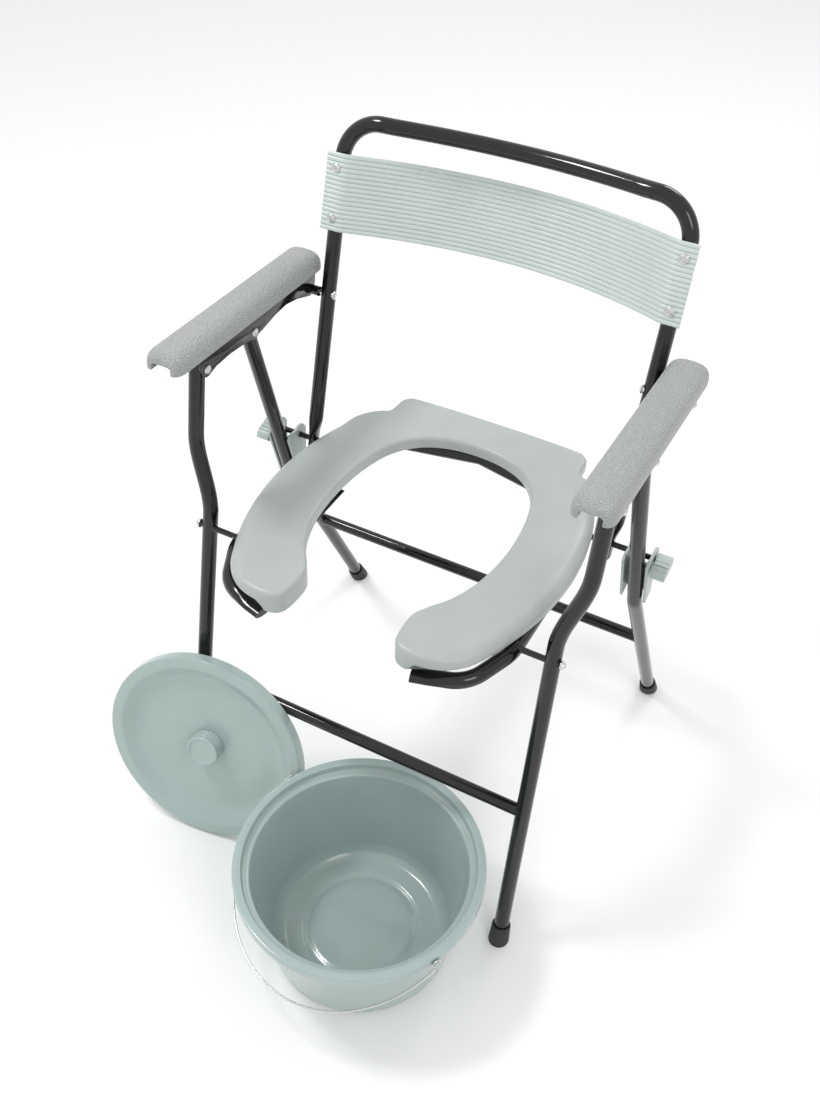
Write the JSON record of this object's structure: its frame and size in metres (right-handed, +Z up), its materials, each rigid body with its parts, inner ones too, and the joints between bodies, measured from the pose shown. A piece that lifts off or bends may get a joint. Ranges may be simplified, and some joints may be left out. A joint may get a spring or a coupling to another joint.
{
  "type": "folding commode chair",
  "caption": "Folding steel-tube commode chair with open-front seat, arm pads, ribbed back panel, leg locks, and a loose bucket with bail and lid.",
  "frame": {"origin": "on the floor, about 4 mm from the middle of the bounding box of the whole set; the chair's own plane of symmetry is X = 0.0217", "axes": "+Z up, the chair faces -Y, the side on the left of a viewer who faces its front is -X"},
  "size_m": [0.6275, 0.7401, 0.842],
  "materials": {
    "black_paint": "gloss",
    "foot_rubber": "matte",
    "bright_steel": "bright",
    "seat_plastic": "satin",
    "pad_plastic": "pebbled",
    "panel_plastic": "semi-gloss",
    "lock_plastic": "semi-gloss",
    "bucket_plastic": "gloss"
  },
  "bodies": {
    "front_frame": {"front_leg_left": "black_paint", "front_leg_right": "black_paint", "front_crossbar": "black_paint", "front_foot_left": "foot_rubber", "front_foot_right": "foot_rubber"},
    "arms": {"arm_bracket_left": "black_paint", "arm_bracket_right": "black_paint", "arm_pad_left": "pad_plastic", "arm_pad_right": "pad_plastic", "arm_bolt_front_left": "bright_steel", "arm_bolt_front_right": "bright_steel", "arm_bolt_middle_left": "bright_steel", "arm_bolt_middle_right": "bright_steel", "arm_nut_front_left": "bright_steel", "arm_nut_front_right": "bright_steel", "arm_nut_middle_left": "bright_steel", "arm_nut_middle_right": "bright_steel", "arm_nut_rear_left": "bright_steel", "arm_nut_rear_right": "bright_steel"},
    "rear_legs": {"rear_leg_left": "black_paint", "rear_leg_right": "black_paint", "rear_crossbar": "black_paint", "rear_foot_left": "foot_rubber", "rear_foot_right": "foot_rubber"},
    "back": {"back_tube": "black_paint", "back_panel": "panel_plastic", "panel_screw_upper_left": "bright_steel", "panel_screw_upper_right": "bright_steel", "panel_screw_lower_left": "bright_steel", "panel_screw_lower_right": "bright_steel", "back_bolt_left": "bright_steel", "back_bolt_right": "bright_steel", "back_spacer_left": "black_paint", "back_spacer_right": "black_paint", "lock_rod_left": "black_paint", "lock_rod_right": "black_paint"},
    "seat_unit": {"seat": "seat_plastic", "seat_frame": "black_paint", "seat_rod_left": "black_paint", "seat_rod_right": "black_paint", "seat_nut_left": "bright_steel", "seat_nut_right": "bright_steel", "bucket_rail_left": "black_paint", "bucket_rail_right": "black_paint"},
    "lock_left": {"lock_clip_left": "lock_plastic"},
    "lock_right": {"lock_clip_right": "lock_plastic"},
    "lever_left": {"lock_lever_left": "lock_plastic"},
    "lever_right": {"lock_lever_right": "lock_plastic"},
    "bucket_unit": {"bucket": "bucket_plastic", "bail_stud_near": "bucket_plastic", "bail_stud_far": "bucket_plastic"},
    "bail_handle": {"bail": "bright_steel"},
    "lid_unit": {"lid": "bucket_plastic", "lid_knob": "bucket_plastic"}
  },
  "joints": [
    {"name": "arm_fold", "type": "hinge", "parent": "front_frame", "child": "arms", "pos_m": [0.0217, 0, 0.64], "axis": [1, 0, 0], "range_deg": [0, 62]},
    {"name": "seat_fold", "type": "hinge", "parent": "front_frame", "child": "seat_unit", "pos_m": [0.0217, -0.049, 0.444], "axis": [1, 0, 0], "range_deg": [0, 62]},
    {"name": "back_fold", "type": "hinge", "parent": "arms", "child": "back", "pos_m": [0.0217, 0.22, 0.629], "axis": [1, 0, 0], "range_deg": [-62, 0]},
    {"name": "rear_leg_fold", "type": "hinge", "parent": "arms", "child": "rear_legs", "pos_m": [0.0217, 0.0955, 0.6355], "axis": [1, 0, 0], "range_deg": [-83.7, 0]},
    {"name": "lock_left_turn", "type": "hinge", "parent": "back", "child": "lock_left", "pos_m": [-0.2291, 0.171, 0.433], "axis": [1, 0, 0], "range_deg": [0, 80]},
    {"name": "lock_right_turn", "type": "hinge", "parent": "back", "child": "lock_right", "pos_m": [0.2725, 0.171, 0.433], "axis": [1, 0, 0], "range_deg": [0, 80]},
    {"name": "lever_left_turn", "type": "hinge", "parent": "lock_left", "child": "lever_left", "pos_m": [-0.2573, 0.171, 0.433], "axis": [1, 0, 0], "range_deg": [0, 60]},
    {"name": "lever_right_turn", "type": "hinge", "parent": "lock_right", "child": "lever_right", "pos_m": [0.3007, 0.171, 0.433], "axis": [1, 0, 0], "range_deg": [0, 60]},
    {"name": "bucket_pull", "type": "slide", "parent": "front_frame", "child": "bucket_unit", "axis": [0, -1, 0], "range_m": [0, 0.25]},
    {"name": "bail_swing", "type": "hinge", "parent": "bucket_unit", "child": "bail_handle", "pos_m": [0.0951, -0.212, 0.151], "axis": [0.8988, -0.4384, 0], "range_deg": [-115, 0]},
    {"name": "lid_lift", "type": "slide", "parent": "front_frame", "child": "lid_unit", "axis": [-0.799, -0.4494, 0.3995], "range_m": [0, 0.15]}
  ],
  "couplings": [
    {"joint": "seat_fold", "follows": "arm_fold", "ratio": 1},
    {"joint": "back_fold", "follows": "arm_fold", "ratio": -1},
    {"joint": "rear_leg_fold", "follows": "arm_fold", "ratio": -1.35}
  ]
}
